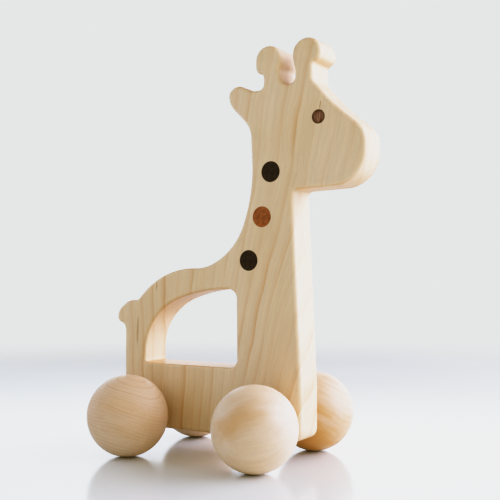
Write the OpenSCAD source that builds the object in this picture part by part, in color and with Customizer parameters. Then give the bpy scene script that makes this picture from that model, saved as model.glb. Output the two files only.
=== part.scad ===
// Giraffe push toy: a profile sawn from one maple board, sanded round at the edges,
// with three spot dowels and an eye dowel through the board, rolling on four ball wheels.
// Millimetres. X runs tail to nose, Y to the giraffe's left, Z up, floor at Z = 0.

/* [Ball wheels] */
// Diameter of each ball wheel (1 1/2 in stock ball)
ball_d = 38.1; // [36:0.1:40]
// Distance between the front and rear axles
wheelbase = 69.4; // [64:0.1:74]
// Gap between each ball and the face of the board
ball_gap = 0.6; // [0.3:0.1:2]

/* [Axles] */
// Diameter of each axle dowel (1/4 in stock)
axle_d = 6.35; // [5:0.05:8]
// Radial running clearance of an axle in its bore through the board
axle_clearance = 0.08; // [0.02:0.01:0.1]
// Depth of the blind bore that each axle end is glued into
ball_bore_depth = 16; // [10:0.5:22]

/* [Body board] */
// Thickness of the board
board_t = 18; // [16:0.5:20]
// Radius of the sanded edge all round the profile
edge_r = 2; // [1:0.1:2]
// Height of the underside above the floor
underside_z = 10.5; // [8:0.5:11.5]

/* [Grip window] */
// Height of the flat floor of the window
window_floor_z = 42; // [36:0.5:44]
// Radius of the sanded edge round the window
window_edge_r = 1.5; // [0.8:0.1:1.8]

/* [Spots and eye] */
// Diameter of the spot dowels (3/8 in stock)
spot_d = 9.525; // [6:0.025:10]
// Diameter of the eye dowel (1/4 in stock)
eye_d = 6.35; // [4:0.05:8]

/* [Hidden] */

ball_r = ball_d / 2;
half_t = board_t / 2;
ball_y = half_t + ball_gap + ball_r;
axle_len = 2 * (ball_y - ball_r + ball_bore_depth);
// How far a drill runs past a face
bore_over = 1;

// The profile is laid out from a datum midway between the axles. The whole toy is then
// shifted so that the origin lies on the floor under the middle of its length.
nose_x = 78;
tail_x = -57.6;
x_shift = -(nose_x + tail_x) / 2;

upper_spot = [31.5, 132.2];
middle_spot = [26.9, 111.8];
lower_spot = [19.9, 91.9];
eye_spot = [55.7, 155.2];

// Profile corners as [x, z, fillet radius], anticlockwise seen from the giraffe's right.
profile = [
    // underside
    [-52.7, underside_z, 4], [46.6, underside_z, 4.5],
    // chest and throat
    [46.6, 36, 90], [42.4, 123.5, 2.6],
    // jaw and rounded muzzle
    [nose_x, 124.9, 15.5], [nose_x, 148, 10],
    // forehead
    [62.5, 160.8, 60], [52.4, 172.2, 4],
    // front horn
    [52.4, 179.7, 1], [56.5, 182, 3.8], [56.5, 191.5, 7],
    [42.3, 191.5, 7], [42.3, 182.6, 4], [43.7, 177.5, 6], [43.3, 170.4, 3],
    // rear horn
    [36.9, 172.6, 3], [35, 178.8, 1.2], [36.2, 181, 2.4], [36.2, 190.2, 6.4],
    [23.1, 190.2, 6.4], [23.1, 178.2, 3.2], [27.2, 177.2, 1.6],
    // ear
    [27.2, 170.2, 2.6], [21, 170.2, 6], [12.7, 174.3, 5.5], [8.3, 170.4, 3.6],
    [8.6, 165, 9], [20.2, 153.4, 12],
    // back of the neck and the back
    [21.6, 124, 70], [12.3, 97, 32], [-5, 88.4, 20], [-30.4, 88.3, 42], [-44.9, 72.7, 3.5],
    // tail and rump
    [-51.4, 72.3, 8], [tail_x, 67.2, 6], [tail_x, 61.8, 2.2], [-52.7, 60.6, 3.8]
];

// Window corners, in the same form.
window = [
    [-39.9, window_floor_z, 1.8], [13.2, window_floor_z, 4.2], [12.8, 78.7, 4.5],
    [-6.2, 78.2, 85], [-25.5, 71.8, 33], [-39.2, 59.9, 26]
];

// Longest chord that draws a fillet, and the most that it turns, in degrees
max_chord = 2;
max_turn = 12;
// Facets across each rounded edge
edge_steps = 3;
// Grid that outlines are rounded to, so that the pieces of the board share their corners exactly
grid = 1 / 1024;
// How far the rounded rims reach into the core of the board
rim_lap = 0.1;

function unit(v) = v / norm(v);
function turn(a, b) = acos(max(-1, min(1, a * b)));
function chords(r, angle) = ceil(max(angle / max_turn, r * angle * PI / 180 / max_chord));

// Points of the fillet at corner p between its neighbours a and b.
function fillet(a, p, b) =
    let (
        corner = [p.x, p.y], r = p.z,
        u = unit([a.x, a.y] - corner), w = unit([b.x, b.y] - corner),
        opening = turn(u, w),
        centre = corner + unit(u + w) * r / sin(opening / 2),
        first = corner + u * r / tan(opening / 2) - centre,
        side = sign(u.x * w.y - u.y * w.x),
        n = chords(r, 180 - opening)
    )
    [for (k = [0 : n])
        let (t = -side * (180 - opening) * k / n)
        centre + [first.x * cos(t) - first.y * sin(t), first.x * sin(t) + first.y * cos(t)]];

function filleted(corners) =
    let (n = len(corners))
    [for (i = [0 : n - 1])
        each fillet(corners[(i + n - 1) % n], corners[i], corners[(i + 1) % n])];

function on_grid(p) = [round(p.x / grid) * grid, round(p.y / grid) * grid];

// Moves a closed line inwards by d, or outwards when d is negative.
function inset(line, d) =
    let (n = len(line))
    [for (i = [0 : n - 1])
        let (
            e = unit(line[i] - line[(i + n - 1) % n]),
            f = unit(line[(i + 1) % n] - line[i]),
            normal = unit([-e.y - f.y, e.x + f.x])
        )
        on_grid(line[i] + normal * d / (normal * [-e.y, e.x]))];

// Closed cross-section of a rounded rim, as [depth, inset] pairs from one face of the board to
// the other. way is 1 for the outside of the board and -1 for the edge of a hole. Its back lies
// rim_lap inside the core, so that rim and core overlap and share only the edge of each face.
function rim_section(r, way) =
    let (
        rounding = [for (k = [0 : edge_steps]) let (a = 90 * k / edge_steps)
            [half_t - r * (1 - sin(a)), way * r * (1 - cos(a))]],
        half = concat(rounding, [[half_t - rim_lap, way * (r + rim_lap)]]),
        last = len(half) - 1
    )
    concat([for (k = [last : -1 : 0]) [-way * half[k][0], half[k][1]]],
        [for (q = half) [way * q[0], q[1]]]);

// Rim that follows a closed line in the XY plane: the section swept all the way round.
module rim(line, section) {
    n = len(line);
    m = len(section);
    points = [for (s = section) for (p = inset(line, s[1])) [p.x, p.y, s[0]]];
    polyhedron(points, [for (j = [0 : m - 1]) for (i = [0 : n - 1])
        let (a = j * n, b = ((j + 1) % m) * n, k = (i + 1) % n)
        each [[a + i, b + k, a + k], [a + i, b + i, b + k]]]);
}

module on_datum() {
    translate([x_shift, 0, 0]) children();
}

// Cylinder along Y through the datum plane, centred at the profile point p.
module cross_cylinder(p, d, length) {
    translate([p.x, 0, p.y]) rotate([90, 0, 0]) cylinder(d = d, h = length, center = true, $fn = 96);
}

front_axle_at = [wheelbase / 2, ball_r];
rear_axle_at = [-wheelbase / 2, ball_r];

// The shaped board lying flat: a flat-sided core, closed by rounded rims.
module blank() {
    outside = filleted(profile);
    hole = filleted(window);
    linear_extrude(height = board_t, center = true)
    difference() {
        polygon(inset(outside, edge_r));
        polygon(inset(hole, -window_edge_r));
    }
    rim(outside, rim_section(edge_r, 1));
    rim(hole, rim_section(window_edge_r, -1));
}

module body_board() {
    color("burlywood")
    on_datum()
    difference() {
        rotate([90, 0, 0]) blank();
        for (p = [upper_spot, middle_spot, lower_spot])
            cross_cylinder(p, spot_d, board_t + 2 * bore_over);
        cross_cylinder(eye_spot, eye_d, board_t + 2 * bore_over);
        for (p = [front_axle_at, rear_axle_at])
            cross_cylinder(p, axle_d + 2 * axle_clearance, board_t + 2 * bore_over);
    }
}

module spot_dowel(p, shade) {
    color(shade) on_datum() cross_cylinder(p, spot_d, board_t);
}

module eye_dowel() {
    color("saddlebrown") on_datum() cross_cylinder(eye_spot, eye_d, board_t);
}

module axle(p) {
    color("wheat") on_datum() cross_cylinder(p, axle_d, axle_len);
}

// side is 1 for the giraffe's left and -1 for its right
module ball_wheel(p, side) {
    color("navajowhite")
    on_datum()
    difference() {
        translate([p.x, side * ball_y, p.y]) sphere(d = ball_d, $fn = 96);
        cross_cylinder(p, axle_d, axle_len);
    }
}

body_board();
spot_dowel(upper_spot, "#2a1e17");  // upper_spot_dowel
spot_dowel(middle_spot, "#8a4a22");  // middle_spot_dowel
spot_dowel(lower_spot, "#2c1f18");  // lower_spot_dowel
eye_dowel();
axle(front_axle_at);  // front_axle
ball_wheel(front_axle_at, 1);  // front_left_ball
ball_wheel(front_axle_at, -1);  // front_right_ball
axle(rear_axle_at);  // rear_axle
ball_wheel(rear_axle_at, 1);  // rear_left_ball
ball_wheel(rear_axle_at, -1);  // rear_right_ball
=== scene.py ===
"""Looks of the wooden giraffe push toy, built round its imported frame.

Everything is in metres in the frame's own axes: X runs tail to nose, Y to the giraffe's left,
Z up, with the floor at Z = 0. Each visible piece is a new, smooth mesh made from the shape of a
frame node, with a procedural wood material, and rides on that node's body.
"""

import math

import bmesh
import bpy
import numpy as np
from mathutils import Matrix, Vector
from mathutils.geometry import delaunay_2d_cdt


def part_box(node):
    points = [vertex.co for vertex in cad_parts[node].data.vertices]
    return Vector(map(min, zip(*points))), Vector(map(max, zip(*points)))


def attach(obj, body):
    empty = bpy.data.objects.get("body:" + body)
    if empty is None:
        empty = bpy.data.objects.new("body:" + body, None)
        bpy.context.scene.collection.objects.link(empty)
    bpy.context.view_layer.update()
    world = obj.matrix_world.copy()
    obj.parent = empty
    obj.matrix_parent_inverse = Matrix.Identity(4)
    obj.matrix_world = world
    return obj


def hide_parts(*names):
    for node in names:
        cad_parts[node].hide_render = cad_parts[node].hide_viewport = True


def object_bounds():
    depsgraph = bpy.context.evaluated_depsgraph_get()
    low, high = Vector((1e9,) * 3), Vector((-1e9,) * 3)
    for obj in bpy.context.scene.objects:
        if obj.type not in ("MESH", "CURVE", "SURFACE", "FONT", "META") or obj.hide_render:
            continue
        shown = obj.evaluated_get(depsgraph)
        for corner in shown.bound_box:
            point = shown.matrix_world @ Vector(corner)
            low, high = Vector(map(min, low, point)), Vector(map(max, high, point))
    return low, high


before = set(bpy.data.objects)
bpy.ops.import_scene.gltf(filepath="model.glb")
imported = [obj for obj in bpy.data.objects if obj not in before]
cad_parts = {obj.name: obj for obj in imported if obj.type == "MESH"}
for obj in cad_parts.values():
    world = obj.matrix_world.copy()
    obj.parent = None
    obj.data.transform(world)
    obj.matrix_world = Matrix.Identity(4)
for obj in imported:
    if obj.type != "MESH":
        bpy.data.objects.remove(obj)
cad_low, cad_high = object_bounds()

MM = 0.001
BODY = "giraffe_body"
WHEELSETS = {"front": "front_wheelset", "rear": "rear_wheelset"}


# ---------------------------------------------------------------- shapes read from the frame

def cut_lines(node, y):
    """Closed lines where the plane at y along Y cuts a node, longest first, as (x, z) arrays."""
    bm = bmesh.new()
    bm.from_mesh(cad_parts[node].data)
    bmesh.ops.remove_doubles(bm, verts=bm.verts, dist=0.001 * MM)
    everything = bm.verts[:] + bm.edges[:] + bm.faces[:]
    cut = bmesh.ops.bisect_plane(
        bm, geom=everything, dist=1e-8, plane_co=(0, y, 0), plane_no=(0, 1, 0)
    )
    # A dictionary keeps the order of the cut, so that each run starts its lines at the same points.
    open_edges = dict.fromkeys(e for e in cut["geom_cut"] if isinstance(e, bmesh.types.BMEdge))
    lines = []
    while open_edges:
        edge = open_edges.popitem()[0]
        vert = edge.verts[1]
        line = [edge.verts[0].co.copy(), vert.co.copy()]
        edge = next((e for e in vert.link_edges if e in open_edges), None)
        while edge:
            del open_edges[edge]
            vert = edge.other_vert(vert)
            line.append(vert.co.copy())
            edge = next((e for e in vert.link_edges if e in open_edges), None)
        lines.append(np.array([(p.x, p.z) for p in line[:-1]]))
    bm.free()
    return sorted(lines, key=length, reverse=True)


def steps_of(line):
    """Length of each step of a closed line, from every point to the next."""
    return np.linalg.norm(np.roll(line, -1, axis=0) - line, axis=1)


def length(line):
    return steps_of(line).sum()


def turned_left(line):
    """The closed line in the order that keeps what it encloses on its left."""
    x, z = line.T
    area = np.sum(x * np.roll(z, -1) - z * np.roll(x, -1)) / 2
    return line if area > 0 else line[::-1]


FINE_STEP = 0.2 * MM
# Waves in an outline that are shorter than this are the chords of the frame, not its shape.
CHORD_WAVE = 4 * MM


def smoothed(line):
    """A closed line resampled in fine steps, with the kinks between its chords filtered out."""
    closed = np.vstack([line, line[:1]])
    run = np.concatenate([[0], np.cumsum(steps_of(line))])
    count = round(run[-1] / FINE_STEP)
    at = np.linspace(0, run[-1], count, endpoint=False)
    points = np.interp(at, run, closed[:, 0]) + 1j * np.interp(at, run, closed[:, 1])
    waves = np.fft.fftfreq(count, run[-1] / count)
    points = np.fft.ifft(np.fft.fft(points) / (1 + (waves * CHORD_WAVE) ** 4))
    return np.column_stack([points.real, points.imag])


def outward(line):
    """Unit normal at each point of a closed line, to the right of its direction."""
    along = np.roll(line, -1, axis=0) - np.roll(line, 1, axis=0)
    along /= np.linalg.norm(along, axis=1)[:, None]
    return np.column_stack([along[:, 1], -along[:, 0]])


MOST_TURN = math.radians(6)
STEP_RANGE = (0.25 * MM, 1.6 * MM)


def spaced(line):
    """Points and outward normals of a smooth closed line, closer together where it curves."""
    normals = outward(line)
    step = steps_of(line)
    turn = np.linalg.norm(np.roll(normals, -1, axis=0) - normals, axis=1)
    wanted = np.clip(MOST_TURN * step / np.maximum(turn, 1e-9), *STEP_RANGE)
    spread = np.hanning(15) / np.hanning(15).sum()
    reach = len(spread) // 2
    density = np.convolve(np.pad(1 / wanted, reach, mode="wrap"), spread, mode="valid")
    run = np.concatenate([[0], np.cumsum(density * step)])
    count = math.ceil(run[-1])
    at = np.interp(np.arange(count) * run[-1] / count, run, np.arange(len(run)))
    whole = at.astype(int)
    part = (at - whole)[:, None]
    points, directions = (
        a[whole] * (1 - part) + np.roll(a, -1, axis=0)[whole] * part for a in (line, normals)
    )
    return points, directions / np.linalg.norm(directions, axis=1)[:, None]


def circle(line, count=72):
    """Points and outward normals, round a hole, of the circle that a cut line draws."""
    centre = (line.max(axis=0) + line.min(axis=0)) / 2
    radius = np.linalg.norm(line - centre, axis=1).max()
    angle = -np.arange(count) * 2 * math.pi / count
    rim = np.column_stack([np.cos(angle), np.sin(angle)])
    return centre + radius * rim, -rim


# ---------------------------------------------------------------- mesh building

class Skin:
    """A mesh in the making: its points, its faces and the exact normal at each face's corners."""

    def __init__(self):
        self.points = []
        self.faces = []
        self.normals = []

    def add(self, points):
        """Adds points and returns their numbers."""
        first = len(self.points)
        self.points.extend(tuple(float(c) for c in p) for p in points)
        return list(range(first, len(self.points)))

    def face(self, corners, normals):
        self.faces.append([int(c) for c in corners])
        self.normals.extend(tuple(float(c) for c in n) for n in normals)

    def strip(self, row, row_normals, next_row, next_normals):
        """Quads between two closed rows of points. A row of one point is a pole."""
        count = max(len(row), len(next_row))
        for i in range(count):
            j = (i + 1) % count
            if len(row) == 1:
                self.face((row[0], next_row[j], next_row[i]),
                          (row_normals[0], next_normals[j], next_normals[i]))
            elif len(next_row) == 1:
                self.face((row[i], row[j], next_row[0]),
                          (row_normals[i], row_normals[j], next_normals[0]))
            else:
                self.face((row[i], row[j], next_row[j], next_row[i]),
                          (row_normals[i], row_normals[j], next_normals[j], next_normals[i]))

    def build(self, node, material, body):
        """The finished piece: it stands for a frame node, wears a material and rides on a body."""
        mesh = bpy.data.meshes.new(node + "_mesh")
        mesh.from_pydata(self.points, [], self.faces)
        mesh.polygons.foreach_set("use_smooth", [True] * len(mesh.polygons))
        mesh.normals_split_custom_set(self.normals)
        mesh.materials.append(material)
        piece = bpy.data.objects.new(node + "_wood", mesh)
        bpy.context.scene.collection.objects.link(piece)
        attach(piece, body)
        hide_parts(node)
        return piece


ROUNDING_STEPS = 8
WALL_STEPS = 5


def rim_rows(half, radius):
    """Rows across a rounded rim from the +Y face to the -Y face.

    Each row is (inset, y, weight of the outward normal, weight of Y in the normal).
    """
    quarter = [math.radians(90 * k / ROUNDING_STEPS) for k in range(ROUNDING_STEPS, -1, -1)]
    left = [
        (radius * (1 - math.cos(a)), half - radius * (1 - math.sin(a)), math.cos(a), math.sin(a))
        for a in quarter
    ]
    right = [(inset, -y, out, -along_y) for inset, y, out, along_y in reversed(left)]
    wall = (half - radius) * (1 - 2 * np.arange(1, WALL_STEPS) / WALL_STEPS)
    return left + [(0, y, 1, 0) for y in wall] + right


def add_rim(skin, line, half, radius):
    """Sweeps a rounded rim along a smooth closed line. Returns its edges on the +Y and -Y faces."""
    points, out = spaced(line)
    rows = []
    for inset, y, out_weight, y_weight in rim_rows(half, radius):
        row = skin.add([(x, y, z) for x, z in points - out * inset])
        rows.append((row, [(x * out_weight, y_weight, z * out_weight) for x, z in out]))
    for (row, normals), (next_row, next_normals) in zip(rows, rows[1:]):
        skin.strip(row, normals, next_row, next_normals)
    return rows[0][0], rows[-1][0], points - out * radius


def add_bore(skin, line, half):
    """The wall of a hole from face to face. Returns its edges on the +Y and -Y faces."""
    points, out = circle(line)
    normals = [(x, 0, z) for x, z in out]
    rows = [skin.add([(x, y, z) for x, z in points]) for y in np.linspace(half, -half, 5)]
    for row, next_row in zip(rows, rows[1:]):
        skin.strip(row, normals, next_row, normals)
    return rows[0], rows[-1], points


FACE_GRID = 2.6 * MM


def inside(points, lines):
    """Which points lie inside an odd number of the closed lines."""
    odd = np.zeros(len(points), bool)
    x, z = points[:, 0], points[:, 1]
    for line in lines:
        for (ax, az), (bx, bz) in zip(line, np.roll(line, -1, axis=0)):
            if az != bz:
                odd ^= ((az > z) != (bz > z)) & (x < (bx - ax) * (z - az) / (bz - az) + ax)
    return odd


def face_grid(lines):
    """Points of a hexagonal grid on the face that the lines bound, clear of the lines."""
    low, high = lines[0].min(axis=0), lines[0].max(axis=0)
    rows = np.arange(low[1], high[1], FACE_GRID * math.sqrt(3) / 2)
    grid = np.array([(x, z) for k, z in enumerate(rows)
                     for x in np.arange(low[0] + FACE_GRID * (k % 2) / 2, high[0], FACE_GRID)])
    grid = grid[inside(grid, lines)]
    edge = np.vstack(lines)
    near = np.array([np.min(np.sum((edge - p) ** 2, axis=1)) for p in grid])
    return grid[near > (0.6 * FACE_GRID) ** 2]


def add_faces(skin, edges, half):
    """The two flat faces of the board, between the edges that its rims and bores left on them."""
    lines = [line for _, _, line in edges]
    grid = face_grid(lines)
    flat = np.vstack(lines + [grid])
    constraints, first = [], 0
    for line in lines:
        count = len(line)
        constraints += [(first + i, first + (i + 1) % count) for i in range(count)]
        first += count
    found = delaunay_2d_cdt([Vector(p) for p in flat], constraints, [], 1, 1e-9)
    triangles = np.array([[found[3][v][0] for v in t] for t in found[2]])
    triangles = triangles[inside(flat[triangles].mean(axis=1), lines)]
    for face, side in enumerate((1, -1)):
        numbers = [n for edge in edges for n in edge[face]]
        numbers += skin.add([(x, side * half, z) for x, z in grid])
        for triangle in triangles:
            skin.face([numbers[k] for k in triangle[::-side]], [(0, side, 0)] * 3)


def build_board(material):
    """The giraffe: outline, window and holes cut from the frame's board, with rounded edges."""
    low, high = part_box("body_board")
    half = (high.y - low.y) / 2
    middle = cut_lines("body_board", 0)
    near_face = cut_lines("body_board", 0.9999 * half)
    skin = Skin()
    edges = []
    for line, face_line, keep in zip(middle, near_face, (1, -1)):
        radius = abs(line.min(axis=0)[1] - face_line.min(axis=0)[1])
        line = turned_left(smoothed(line))[::keep]
        edges.append(add_rim(skin, line, half, radius))
    edges += [add_bore(skin, line, half) for line in middle[2:]]
    add_faces(skin, edges, half)
    return skin.build("body_board", material, BODY)


TURNS = 96


def lathe(skin, centre, side, stretches):
    """Adds a piece turned about an axis along Y. side -1 turns it end for end.

    A stretch is a list of (radius, y, normal's radial part, normal's y part), from the +Y end
    round the outside to the -Y end. Each stretch starts on the last point of the one before it.
    """
    angles = np.arange(TURNS) * 2 * math.pi / TURNS
    circle_points = np.column_stack([side * np.cos(angles), np.sin(angles)])
    row = None
    for stretch in stretches:
        normals = None
        for radius, y, out, along_y in stretch:
            ring = circle_points if radius > 0 else circle_points[:1]
            next_normals = [(x * out, side * along_y, z * out) for x, z in ring]
            if row is None or normals is not None:
                next_row = skin.add([
                    (centre.x + x * radius, centre.y + side * y, centre.z + z * radius)
                    for x, z in ring
                ])
            if row is not None and normals is not None:
                skin.strip(row, normals, next_row, next_normals)
            row, normals = next_row, next_normals


def arc(radius, middle_r, middle_y, start, end, steps):
    """Stretch along an arc of the section. Angle 0 points off the axis, and 90 degrees along +Y."""
    angles = [math.radians(start + (end - start) * k / steps) for k in range(steps + 1)]
    return [
        (middle_r + radius * math.cos(a), middle_y + radius * math.sin(a), math.cos(a), math.sin(a))
        for a in angles
    ]


def disc(y, start, end, facing, steps):
    """Stretch across a flat end, from one radius to another."""
    return [(start + (end - start) * k / steps, y, 0, facing) for k in range(steps + 1)]


def tube(radius, start, end, facing, steps):
    """Stretch along a straight wall, from one y to another."""
    return [(radius, start + (end - start) * k / steps, facing, 0) for k in range(steps + 1)]


def build_dowel(node, body, material, bevel):
    """A dowel of the frame's size with a small round bevel at each end."""
    low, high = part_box(node)
    radius, half = (high.x - low.x) / 2, (high.y - low.y) / 2
    outside = (
        disc(half, 0, radius - bevel, 1, 8)[:-1]
        + arc(bevel, radius - bevel, half - bevel, 90, 0, 4)
        + tube(radius, half - bevel, bevel - half, 1, 8)[1:-1]
        + arc(bevel, radius - bevel, bevel - half, 0, -90, 4)
        + disc(-half, radius - bevel, 0, -1, 8)[1:]
    )
    skin = Skin()
    lathe(skin, (low + high) / 2, 1, [outside])
    return skin.build(node, material, body)


def build_ball(node, axle, body, material):
    """A ball of the frame's size, with the blind bore that its axle is glued into."""
    low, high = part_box(node)
    axle_low, axle_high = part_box(axle)
    radius, bore = (high.x - low.x) / 2, (axle_high.x - axle_low.x) / 2
    side = 1 if low.y > 0 else -1
    outer_y = max(abs(low.y), abs(high.y))
    centre = Vector(((low.x + high.x) / 2, side * (outer_y - radius), (low.z + high.z) / 2))
    mouth = math.degrees(math.acos(bore / radius))
    mouth_y = -radius * math.sin(math.radians(mouth))
    bottom_y = axle_high.y - (outer_y - radius)
    sphere = [(0, radius, 0, 1)] + arc(radius, 0, 0, 90, -mouth, 64)[1:]
    wall = tube(bore, mouth_y, bottom_y, -1, 8)
    bottom = disc(bottom_y, bore, 0, -1, 4)
    skin = Skin()
    lathe(skin, centre, side, [sphere, wall, bottom])
    return skin.build(node, material, body)


# ---------------------------------------------------------------- materials

def colour(red, green, blue):
    """A colour given as it shows on a screen, 0 to 255, in the linear values that a node takes."""
    def linear(c):
        c /= 255
        return c / 12.92 if c <= 0.04045 else ((c + 0.055) / 1.055) ** 2.4
    return linear(red), linear(green), linear(blue), 1


class Nodes:
    """A new material's node tree, with short calls that add a node and return its first output."""

    def __init__(self, name):
        self.material = bpy.data.materials.new(name)
        self.material.use_nodes = True
        self.tree = self.material.node_tree
        self.surface = self.tree.nodes["Principled BSDF"]

    def add(self, kind, inputs, **settings):
        """Adds a node. An input is a value or another node's output."""
        node = self.tree.nodes.new("ShaderNode" + kind)
        for key, value in settings.items():
            setattr(node, key, value)
        self.feed(node, inputs)
        return node

    def feed(self, node, inputs):
        for key, value in inputs.items():
            if isinstance(value, bpy.types.NodeSocket):
                self.tree.links.new(value, node.inputs[key])
            else:
                node.inputs[key].default_value = value

    def finish(self, inputs):
        self.feed(self.surface, inputs)
        return self.material

    def maths(self, operation, *values):
        return self.add("Math", dict(enumerate(values)), operation=operation).outputs[0]

    def vector(self, operation, *values):
        node = self.add("VectorMath", dict(enumerate(values)), operation=operation)
        return node.outputs["Value" if operation in ("LENGTH", "DOT_PRODUCT") else "Vector"]

    def object_mm(self):
        """The point on the piece in millimetres, in the frame's axes at rest."""
        place = self.add("TexCoord", {}).outputs["Object"]
        return self.vector("MULTIPLY", place, (1 / MM, 1 / MM, 1 / MM))

    def noise(self, at, scale, detail=2.0, roughness=0.5, output=0):
        inputs = {"Vector": at, "Scale": scale, "Detail": detail, "Roughness": roughness}
        return self.add("TexNoise", inputs).outputs[output]

    def between(self, value, low, high, start=0.0, end=1.0):
        """Goes smoothly from start to end as value goes from low to high."""
        inputs = {0: value, 1: low, 2: high, 3: start, 4: end}
        return self.add("MapRange", inputs, interpolation_type="SMOOTHSTEP").outputs[0]

    def blend(self, share, first, second, blend_type="MIX"):
        inputs = {0: share, 6: first, 7: second}
        return self.add("Mix", inputs, data_type="RGBA", blend_type=blend_type).outputs[2]

    def bump(self, height, depth):
        """Normal for a surface raised by height times depth, in metres."""
        return self.add("Bump", {"Height": height, "Distance": depth, "Strength": 1.0}).outputs[0]


def stretched(nodes, at, across, along):
    """Scales a point in the log, whose grain runs along Z, so that a noise there draws fibres."""
    return nodes.vector("MULTIPLY", at, (across, across, along))


def straight_log(nodes, centre, grain, heart, reach):
    """Point in a straight log, in millimetres, with its Z along the fibres and X = Y = 0 on the pith.

    The fibres run along grain, and the pith passes centre at the distance reach, towards heart.
    """
    along = Vector(grain).normalized()
    inwards = Vector(heart)
    inwards = (inwards - inwards.project(along)).normalized()
    at = nodes.vector("SUBTRACT", nodes.object_mm(), [c / MM for c in centre])
    axes = (inwards, along.cross(inwards), along)
    parts = dict(enumerate(nodes.vector("DOT_PRODUCT", at, axis) for axis in axes))
    return nodes.vector("SUBTRACT", nodes.add("CombineXYZ", parts).outputs[0], (reach, 0, 0))


def fanned_log(nodes, root, pith):
    """Point in a log whose grain fans out upwards from a point root = (x, z) below the toy.

    pith is what is added to the point across the fibres, to place it from the pith. Millimetres.
    """
    at = nodes.add("SeparateXYZ", {0: nodes.object_mm()}).outputs
    x = nodes.maths("SUBTRACT", at[0], root[0])
    z = nodes.maths("SUBTRACT", at[2], root[1])
    reach = nodes.maths("SQRT", nodes.maths("ADD", nodes.maths("MULTIPLY", x, x),
                                            nodes.maths("MULTIPLY", z, z)))
    across = nodes.maths("MULTIPLY", nodes.maths("ARCTAN2", x, z), -root[1])
    in_fan = nodes.add("CombineXYZ", {0: across, 1: at[1], 2: reach}).outputs[0]
    return nodes.vector("ADD", in_fan, (*pith, 0))


# How far the log bends across its fibres, in millimetres, and how strongly flecks and the faint
# rings between two years darken the wood
SWAY = 9.0
FLECK_SHADE = 0.08
FAINT_RINGS = 0.17


def wood(name, log, light, warm, line, ring_gap, ring_depth, marks=None, **finish):
    """Sanded wood: growth rings round a pith, fibres, flecks and a slow drift of tone.

    log places the grain. light and warm are the two tones between rings, and line is the tone of
    the dark late wood. ring_gap is in millimetres and ring_depth is how strongly a ring shows.
    marks changes the finished tone of one piece, such as by a mark or a patch of heartwood.
    """
    nodes = Nodes(name)
    at = log(nodes)
    sway = nodes.noise(stretched(nodes, at, 0.03, 0.012), 1.0, detail=3.0, output=1)
    sway = nodes.vector("MULTIPLY", nodes.vector("SUBTRACT", sway, (0.5, 0.5, 0.5)), (SWAY, SWAY, 0))
    at = nodes.vector("ADD", at, sway)
    from_pith = nodes.vector("LENGTH", nodes.vector("MULTIPLY", at, (1, 1, 0)))
    ring = nodes.maths("DIVIDE", from_pith, ring_gap)
    uneven = nodes.noise(nodes.vector("MULTIPLY", at, (0.05, 0.05, 0.004)), 1.0, detail=1.0)
    ring = nodes.maths("ADD", ring, nodes.maths("MULTIPLY", uneven, 2.0))
    season = nodes.maths("FRACT", ring)
    late = nodes.maths("MULTIPLY", nodes.maths("POWER", season, 3.5),
                       nodes.between(season, 1.0, 0.94))
    between_rings = nodes.maths("FRACT", nodes.maths("MULTIPLY", ring, 3.3))
    faint = nodes.maths("MULTIPLY", nodes.maths("POWER", between_rings, 3.0), FAINT_RINGS)
    year = nodes.add("TexWhiteNoise", {"W": nodes.maths("FLOOR", ring)}, noise_dimensions="1D")
    patchy = nodes.noise(stretched(nodes, at, 0.12, 0.02), 1.0, detail=2.0)
    shown = nodes.maths("MULTIPLY", nodes.between(year.outputs[0], 0, 1, 0.4, 1.0),
                        nodes.between(patchy, 0.35, 0.65, 0.4, 1.0))
    late = nodes.maths("MAXIMUM", nodes.maths("MULTIPLY", late, shown), faint)

    drift = nodes.between(nodes.noise(stretched(nodes, at, 0.05, 0.015), 1.0, detail=2.0), 0.3, 0.7)
    fibre = nodes.noise(stretched(nodes, at, 2.6, 0.11), 1.0, detail=4.0, roughness=0.6)
    streak = nodes.noise(stretched(nodes, at, 0.7, 0.03), 1.0, detail=2.0)
    fleck = nodes.between(nodes.noise(stretched(nodes, at, 3.2, 0.5), 1.0, detail=1.0), 0.66, 0.74)

    tone = nodes.blend(drift, colour(*light), colour(*warm))
    tone = nodes.blend(nodes.maths("MULTIPLY", late, ring_depth), tone, colour(*line))
    shade = nodes.maths("ADD", nodes.between(fibre, 0.25, 0.75, 0.965, 1.02),
                        nodes.between(streak, 0.3, 0.7, -0.03, 0.02))
    shade = nodes.maths("SUBTRACT", shade, nodes.maths("MULTIPLY", fleck, FLECK_SHADE))
    grey = nodes.add("CombineColor", {0: shade, 1: shade, 2: shade}).outputs[0]
    tone = nodes.blend(1.0, tone, grey, "MULTIPLY")
    if marks:
        tone = marks(nodes, tone)
    relief = nodes.maths("ADD", nodes.maths("MULTIPLY", fibre, 0.6),
                         nodes.maths("MULTIPLY", late, 0.4))
    relief = nodes.maths("SUBTRACT", relief, nodes.maths("MULTIPLY", fleck, 0.5))
    rough = nodes.between(fibre, 0.3, 0.7, finish["roughness"] - 0.06, finish["roughness"] + 0.06)
    return nodes.finish({
        "Base Color": tone,
        "Roughness": rough,
        "Normal": nodes.bump(relief, finish["relief"]),
        "Specular IOR Level": finish["specular"],
    })


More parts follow.
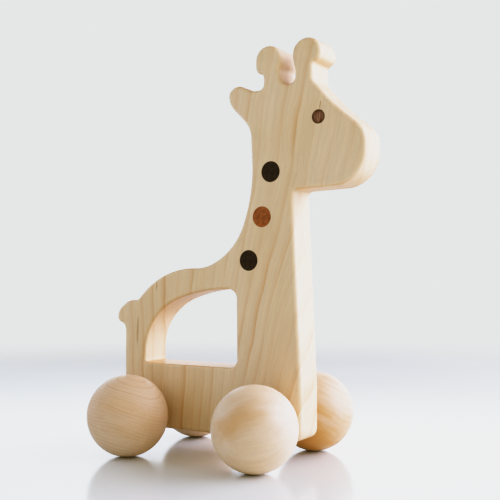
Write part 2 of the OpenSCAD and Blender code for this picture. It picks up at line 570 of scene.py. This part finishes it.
def thin_mark(nodes, centre, size, lean):
    """Share of a dark mark on the giraffe's right face, 1 in its middle and 0 outside it.

    centre is (x, z) and size is its half width and half height, in millimetres. lean is its
    tilt from upright, in degrees.
    """
    at = nodes.add("SeparateXYZ", {0: nodes.object_mm()}).outputs
    x = nodes.maths("SUBTRACT", at[0], centre[0])
    z = nodes.maths("SUBTRACT", at[2], centre[1])
    sine, cosine = math.sin(math.radians(lean)), math.cos(math.radians(lean))
    across = nodes.maths("SUBTRACT", nodes.maths("MULTIPLY", x, cosine / size[0]),
                         nodes.maths("MULTIPLY", z, sine / size[0]))
    along = nodes.maths("ADD", nodes.maths("MULTIPLY", x, sine / size[1]),
                        nodes.maths("MULTIPLY", z, cosine / size[1]))
    ragged = nodes.noise(nodes.object_mm(), 0.6, detail=3.0)
    across = nodes.maths("ADD", across, nodes.between(ragged, 0.3, 0.7, -0.25, 0.25))
    from_middle = nodes.maths("ADD", nodes.maths("MULTIPLY", across, across),
                              nodes.maths("MULTIPLY", along, along))
    right_face = nodes.between(at[1], -4, -7)
    return nodes.maths("MULTIPLY", nodes.between(from_middle, 1.2, 0.3), right_face)


# Tone of the board's faces that point up or down, and its share of the tone: partly the end grain's
# own colour, which takes up the most oil, and partly painted warm shade, as of light bounced up under
# the edges that face down
END_GRAIN_AND_SHADE = (204, 154, 102)
END_AND_SHADE_SHARE = 0.6
# Marks on the board: place, half width and half height, lean in degrees, and share of the tone
MARK_BROWN = (164, 112, 64)
RUMP_STREAK = ((-54.5, 57.6), (0.65, 7.6), 3.0, 0.5)
BACK_FLECK = ((-42.9, 79.7), (0.55, 2.4), 3.0, 0.38)
EYE_CRACK = ((46.4, 160.4), (0.3, 2.2), 7.0, 0.7)


def board_marks(nodes, tone):
    """Deeper tone on faces up and down (end grain, and painted warm shade under the downward edges),
    the streak on the rump, a fleck on the back and a crack over the eye.
    """
    facing = nodes.add("SeparateXYZ", {0: nodes.add("TexCoord", {}).outputs["Normal"]}).outputs[2]
    end_and_shade_share = nodes.between(nodes.maths("ABSOLUTE", facing), 0.45, 1.0, 0, END_AND_SHADE_SHARE)
    # Partly the end grain's own tone, partly painted warm shade: every face pointing up or down is
    # deepened
    tone = nodes.blend(end_and_shade_share, tone, colour(*END_GRAIN_AND_SHADE))
    for centre, size, lean, share in (RUMP_STREAK, BACK_FLECK, EYE_CRACK):
        mark = nodes.maths("MULTIPLY", thin_mark(nodes, centre, size, lean), share)
        tone = nodes.blend(mark, tone, colour(*MARK_BROWN))
    return tone


# Tones of the board, of the balls, and of the front right ball, which is slightly paler: partly paler
# wood, partly painted light for the brighter bounce from the floor on that ball
MAPLE = {"light": (231, 206, 172), "warm": (226, 197, 158), "line": (204, 144, 90)}
BALL_MAPLE = {"light": (227, 200, 171), "warm": (221, 187, 151), "line": (196, 136, 86)}
PALE_AND_LIT_MAPLE = {"light": (230, 205, 177), "warm": (225, 194, 158), "line": (202, 146, 96)}
SATIN = {"roughness": 0.42, "relief": 0.02 * MM, "specular": 0.5}


# Where the board's fibres fan out from, and how far it lies from the pith, in millimetres
FAN_ROOT = (-48, -200)
FAN_PITH = (70, 34)


def board_wood():
    return wood(
        "board_maple", lambda nodes: fanned_log(nodes, FAN_ROOT, FAN_PITH),
        ring_gap=4.8, ring_depth=0.8, marks=board_marks, **MAPLE, **SATIN
    )


# Each ball is turned from its own piece of wood: the way its fibres run, the way from its centre
# to its pith and how far that is, the gap between its rings and how strongly they show. A patch of
# tan heartwood lies on the side of the ball that is given, with its reach and its share of tan.
# Its edge is ragged by HEART_RAGGED of its reach, and it runs on along the fibres.
BALL_GRAIN = {
    ("rear", "right"): ((0.87, 0.40, -0.29), (0.32, -0.02, 0.90), 42, 1.5, 0.8),
    ("front", "right"): ((0.83, 0.50, 0.25), (0.35, -0.20, -0.90), 24, 8.0, 0.2),
    ("front", "left"): ((0.75, 0.44, -0.50), (0.59, -0.11, 0.80), 24, 2.8, 0.5),
    ("rear", "left"): ((0.25, 0.35, 0.90), (1.00, 0.30, 0.00), 30, 2.6, 0.6),
}
BALL_HEARTWOOD = {
    ("rear", "right"): ((-0.26, -0.93, 0.25), 13, 0.25),
    ("front", "right"): ((-0.03, -0.95, 0.30), 11, 0.6),
    ("front", "left"): ((0.25, -0.84, -0.40), 26, 1.0),
    ("rear", "left"): ((0.30, 0.90, 0.20), 12, 0.35),
}
TAN = (206, 154, 98)
HEART_RAGGED = 0.35


def ball_wood(end, hand):
    grain, heart, reach, gap, depth = BALL_GRAIN[end, hand]
    way, spread, share = BALL_HEARTWOOD[end, hand]
    # The front right ball's paler tones are partly painted light, for the floor's bounce that lights
    # it more
    tones = PALE_AND_LIT_MAPLE if (end, hand) == ("front", "right") else BALL_MAPLE
    low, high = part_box(f"{end}_{hand}_ball")
    centre = (low + high) / 2
    spot = centre + Vector(way).normalized() * (high.x - low.x) / 2

    def heartwood(nodes, tone):
        at = straight_log(nodes, spot, grain, heart, 0)
        from_spot = nodes.vector("LENGTH", stretched(nodes, at, 1 / spread, 0.4 / spread))
        ragged = nodes.noise(stretched(nodes, at, 0.16, 0.05), 1.0, detail=2.0)
        ragged = nodes.between(ragged, 0.2, 0.8, -HEART_RAGGED, HEART_RAGGED)
        from_spot = nodes.maths("ADD", from_spot, ragged)
        return nodes.blend(nodes.between(from_spot, 1.0, 0.0, 0, share), tone, colour(*TAN))

    return wood(
        f"{end}_{hand}_ball_maple",
        lambda nodes: straight_log(nodes, centre, grain, heart, reach),
        ring_gap=gap, ring_depth=depth, marks=heartwood, **tones, **SATIN
    )


def axle_wood(end):
    low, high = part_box(f"{end}_axle")
    centre = (low + high) / 2
    return wood(
        f"{end}_axle_birch", lambda nodes: straight_log(nodes, centre, (0, 1, 0), (1, 0, 0.4), 32),
        light=(226, 198, 158), warm=(218, 186, 142), line=(188, 146, 98),
        ring_gap=1.6, ring_depth=0.4, roughness=0.55, relief=0.02 * MM, specular=0.4
    )


def end_grain(name, node, light, dark, pore, roughness):
    """End grain of a hardwood dowel, sanded flush and oiled: pores, fine arcs and mottling."""
    nodes = Nodes(name)
    low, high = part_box(node)
    at = straight_log(nodes, (low + high) / 2, (0, 1, 0), (1, 0, 0.5), 10)
    mottle = nodes.noise(stretched(nodes, at, 0.55, 0.1), 1.0, detail=4.0, roughness=0.65)
    arcs = nodes.maths("FRACT", nodes.maths("DIVIDE", nodes.vector("LENGTH", at), 1.3))
    cells = {"Vector": stretched(nodes, at, 3.4, 0.12), "Scale": 1.0}
    pores = nodes.between(nodes.add("TexVoronoi", cells).outputs[0], 0.26, 0.12)
    tone = nodes.blend(nodes.between(mottle, 0.32, 0.68), colour(*dark), colour(*light))
    arcs = nodes.maths("MULTIPLY", nodes.between(arcs, 0.5, 1.0), 0.25)
    tone = nodes.blend(arcs, tone, colour(*dark))
    tone = nodes.blend(nodes.maths("MULTIPLY", pores, 0.7), tone, colour(*pore))
    relief = nodes.maths("SUBTRACT", nodes.maths("MULTIPLY", mottle, 0.5), pores)
    return nodes.finish({
        "Base Color": tone,
        "Roughness": nodes.between(mottle, 0.3, 0.7, roughness - 0.06, roughness + 0.08),
        "Normal": nodes.bump(relief, 0.03 * MM),
        "Specular IOR Level": 0.35,
    })


EYE_LIGHT = (168, 129, 108)
EYE_DARK = (110, 73, 58)
EYE_FIBRE = (81, 51, 42)
EYE_RIM_SHADE = (72, 44, 31)


def eye_wood():
    """The eye's brown dowel: upright streaks, and a darker rim that is painted shade, as of an eye
    set in a recess.
    """
    nodes = Nodes("eye_brown_wood")
    low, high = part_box("eye_dowel")
    at = straight_log(nodes, (low + high) / 2, (0.1, 0, 1), (1, 0, 0), 6)
    streak = nodes.noise(stretched(nodes, at, 0.9, 0.12), 1.0, detail=3.0, roughness=0.6)
    fibre = nodes.noise(stretched(nodes, at, 4.0, 0.4), 1.0, detail=3.0)
    tone = nodes.blend(nodes.between(streak, 0.35, 0.65), colour(*EYE_DARK), colour(*EYE_LIGHT))
    tone = nodes.blend(nodes.between(fibre, 0.45, 0.75, 0, 0.3), tone, colour(*EYE_FIBRE))
    from_centre = nodes.vector("SUBTRACT", nodes.object_mm(), [c / MM for c in (low + high) / 2])
    from_centre = nodes.vector("LENGTH", nodes.vector("MULTIPLY", from_centre, (1, 0, 1)))
    # Painted shade: the dowel darkens towards its rim, as if it sat in a recess
    tone = nodes.blend(nodes.between(from_centre, 1.3, 3.2, 0, 0.8), tone, colour(*EYE_RIM_SHADE))
    return nodes.finish({
        "Base Color": tone,
        "Roughness": nodes.between(fibre, 0.3, 0.7, 0.42, 0.58),
        "Normal": nodes.bump(fibre, 0.03 * MM),
        "Specular IOR Level": 0.4,
    })


# ---------------------------------------------------------------- the pieces

DOWEL_BEVEL = 0.15 * MM
AXLE_BEVEL = 0.6 * MM
DARK_SPOT = {"light": (77, 59, 53), "dark": (55, 42, 38), "pore": (28, 22, 20)}
RED_SPOT = {"light": (178, 115, 75), "dark": (139, 85, 53), "pore": (104, 60, 38)}
SPOTS = (
    ("upper", "spot_dark", DARK_SPOT),
    ("middle", "spot_red", RED_SPOT),
    ("lower", "spot_dark", DARK_SPOT),
)


def build_pieces():
    build_board(board_wood())
    for place, slot, tones in SPOTS:
        node = place + "_spot_dowel"
        material = end_grain(place + "_spot_wood", node, roughness=0.55, **tones)
        build_dowel(node, BODY, material, DOWEL_BEVEL)
    build_dowel("eye_dowel", BODY, eye_wood(), DOWEL_BEVEL)
    for end, body in WHEELSETS.items():
        build_dowel(end + "_axle", body, axle_wood(end), AXLE_BEVEL)
        for hand in ("left", "right"):
            build_ball(f"{end}_{hand}_ball", end + "_axle", body, ball_wood(end, hand))


# ---------------------------------------------------------------- floor, light and camera

# The picture's tone curve: scene light up to CURVE_REACH is brought to at most CURVE_TOP, as soft
# film does, and CURVE_BEND above 1 deepens the shadows. Shadows are also made warmer: the blue of
# faint light loses the share WARM_SHARE, and light well above WARM_REACH keeps all its blue.
CURVE_REACH = 5.0
CURVE_TOP = 0.87
CURVE_BEND = 1.65
WARM_SHARE = 0.49
WARM_REACH = 0.187
CURVE_POINTS = 24


def toned(light):
    """What the tone curve makes of an amount of scene light."""
    return CURVE_TOP * (1 - math.exp(-((light / CURVE_TOP) ** CURVE_BEND)))


def warmed(blue):
    """What is left of an amount of blue scene light, before the tone curve."""
    return blue * (1 - WARM_SHARE * math.exp(-blue / WARM_REACH))


def untoned(red, green, blue):
    """The scene light that the picture shows as this colour, given from 0 to 255."""
    shown = [min(c, 0.98 * CURVE_TOP) for c in colour(red, green, blue)[:3]]
    return (*(CURVE_TOP * (-math.log(1 - c / CURVE_TOP)) ** (1 / CURVE_BEND) for c in shown), 1)


def set_tone():
    view = bpy.context.scene.view_settings
    view.view_transform = "Standard"
    view.use_curve_mapping = True
    mapping = view.curve_mapping
    mapping.white_level = (CURVE_REACH,) * 3
    for curve, height in (
        (mapping.curves[2], lambda at: warmed(at * CURVE_REACH) / CURVE_REACH),
        (mapping.curves[3], lambda at: toned(at * CURVE_REACH)),
    ):
        for k in range(1, CURVE_POINTS):
            at = (k / CURVE_POINTS) ** 2
            curve.points.new(at, height(at))
        curve.points[0].location = (0, 0)
        curve.points[-1].location = (1, height(1))
    mapping.update()


FLOOR_RADIUS = 0.7
# The floor fades into the background from this share of its radius
FADE_START = 0.55
FLOOR_TONES = ((228, 230, 222), (233, 235, 227))
BACKGROUND = untoned(229, 231, 231)


def build_floor():
    """A pale, slightly glossy table top that fades into the background towards its edge."""
    bm = bmesh.new()
    bmesh.ops.create_circle(bm, cap_ends=True, radius=FLOOR_RADIUS, segments=128)
    mesh = bpy.data.meshes.new("floor")
    bm.to_mesh(mesh)
    bm.free()
    floor = bpy.data.objects.new("floor", mesh)
    bpy.context.scene.collection.objects.link(floor)
    nodes = Nodes("floor_white")
    cloud = nodes.noise(nodes.object_mm(), 0.004, detail=2.0)
    tone = nodes.blend(cloud, *(colour(*c) for c in FLOOR_TONES))
    mesh.materials.append(nodes.finish({
        "Base Color": tone,
        "Roughness": nodes.between(cloud, 0.3, 0.7, 0.13, 0.16),
        "Specular IOR Level": 0.85,
    }))
    distance = nodes.vector("LENGTH", nodes.object_mm())
    edge = nodes.between(distance, FADE_START * FLOOR_RADIUS / MM, FLOOR_RADIUS / MM)
    glow = nodes.add("Emission", {0: BACKGROUND, 1: 1.0}).outputs[0]
    faded = nodes.add("MixShader", {0: edge, 1: nodes.surface.outputs[0], 2: glow}).outputs[0]
    nodes.tree.links.new(faded, nodes.tree.nodes["Material Output"].inputs["Surface"])


AIR_TINT = (250, 251, 255)
AIR_STRENGTH = 0.93


def build_world():
    """Soft light from all round, and a plain pale background behind the toy."""
    world = bpy.data.worlds.new("studio")
    bpy.context.scene.world = world
    world.use_nodes = True
    tree = world.node_tree
    light = tree.nodes["Background"]
    light.inputs[0].default_value = colour(*AIR_TINT)
    light.inputs[1].default_value = AIR_STRENGTH
    seen = tree.nodes.new("ShaderNodeBackground")
    seen.inputs[0].default_value = BACKGROUND
    path = tree.nodes.new("ShaderNodeLightPath")
    mix = tree.nodes.new("ShaderNodeMixShader")
    tree.links.new(path.outputs["Is Camera Ray"], mix.inputs[0])
    tree.links.new(light.outputs[0], mix.inputs[1])
    tree.links.new(seen.outputs[0], mix.inputs[2])
    tree.links.new(mix.outputs[0], tree.nodes["World Output"].inputs[0])


def away(azimuth, elevation):
    """Unit vector from the toy towards a viewer or lamp. Azimuth 0 is in front of its right side."""
    a, e = math.radians(azimuth), math.radians(elevation)
    return Vector((math.sin(a) * math.cos(e), -math.cos(a) * math.cos(e), math.sin(e)))


def aim(thing, target, azimuth, elevation, distance):
    back = away(azimuth, elevation)
    thing.location = target + back * distance
    thing.rotation_euler = back.to_track_quat("Z", "Y").to_euler()


def softbox(name, azimuth, elevation, distance, size, power, tint, spread=180, lights=True,
            shines=True):
    """A rectangular lamp. It may leave out its soft light, or its reflection in smooth surfaces.

    A spread below 180 degrees fades the lamp towards its edges, as seen from the toy.
    """
    lamp = bpy.data.lights.new(name, "AREA")
    lamp.shape = "RECTANGLE"
    lamp.size, lamp.size_y = size
    lamp.energy = power
    lamp.color = colour(*tint)[:3]
    lamp.spread = math.radians(spread)
    box = bpy.data.objects.new(name, lamp)
    bpy.context.scene.collection.objects.link(box)
    aim(box, (cad_low + cad_high) / 2, azimuth, elevation, distance)
    box.visible_camera = False
    box.visible_diffuse = lights
    box.visible_glossy = shines


CAMERA_LENS = 62.8
CAMERA_DISTANCE = 0.4118
# The camera looks a little off the middle of the toy's box
CAMERA_OFFSET = Vector((5.0, 0.2, 1.2)) * MM


def build_camera():
    data = bpy.data.cameras.new("camera")
    data.lens = CAMERA_LENS
    camera = bpy.data.objects.new("camera", data)
    bpy.context.scene.collection.objects.link(camera)
    target = (cad_low + cad_high) / 2 + CAMERA_OFFSET
    aim(camera, target, azimuth=30.8, elevation=-1.3, distance=CAMERA_DISTANCE)
    bpy.context.scene.camera = camera


build_pieces()
build_floor()
build_world()
softbox("window", azimuth=128, elevation=20, distance=1.1, size=(1.3, 0.9), power=45,
        tint=(213, 217, 251), shines=False)
softbox("window_shine", azimuth=128, elevation=20, distance=1.1, size=(2.2, 1.5), power=29,
        tint=(213, 217, 251), spread=80, lights=False)
softbox("side_window", azimuth=-70, elevation=14, distance=0.45, size=(0.35, 0.35), power=1.25,
        tint=(183, 208, 255), shines=False)
softbox("room", azimuth=70, elevation=8, distance=1.1, size=(0.8, 0.8), power=3.6,
        tint=(246, 240, 232), shines=False)
softbox("back_window", azimuth=208, elevation=17, distance=1.3, size=(4.0, 0.6), power=9.5,
        tint=(228, 240, 255), spread=114, lights=False)
build_camera()
set_tone()
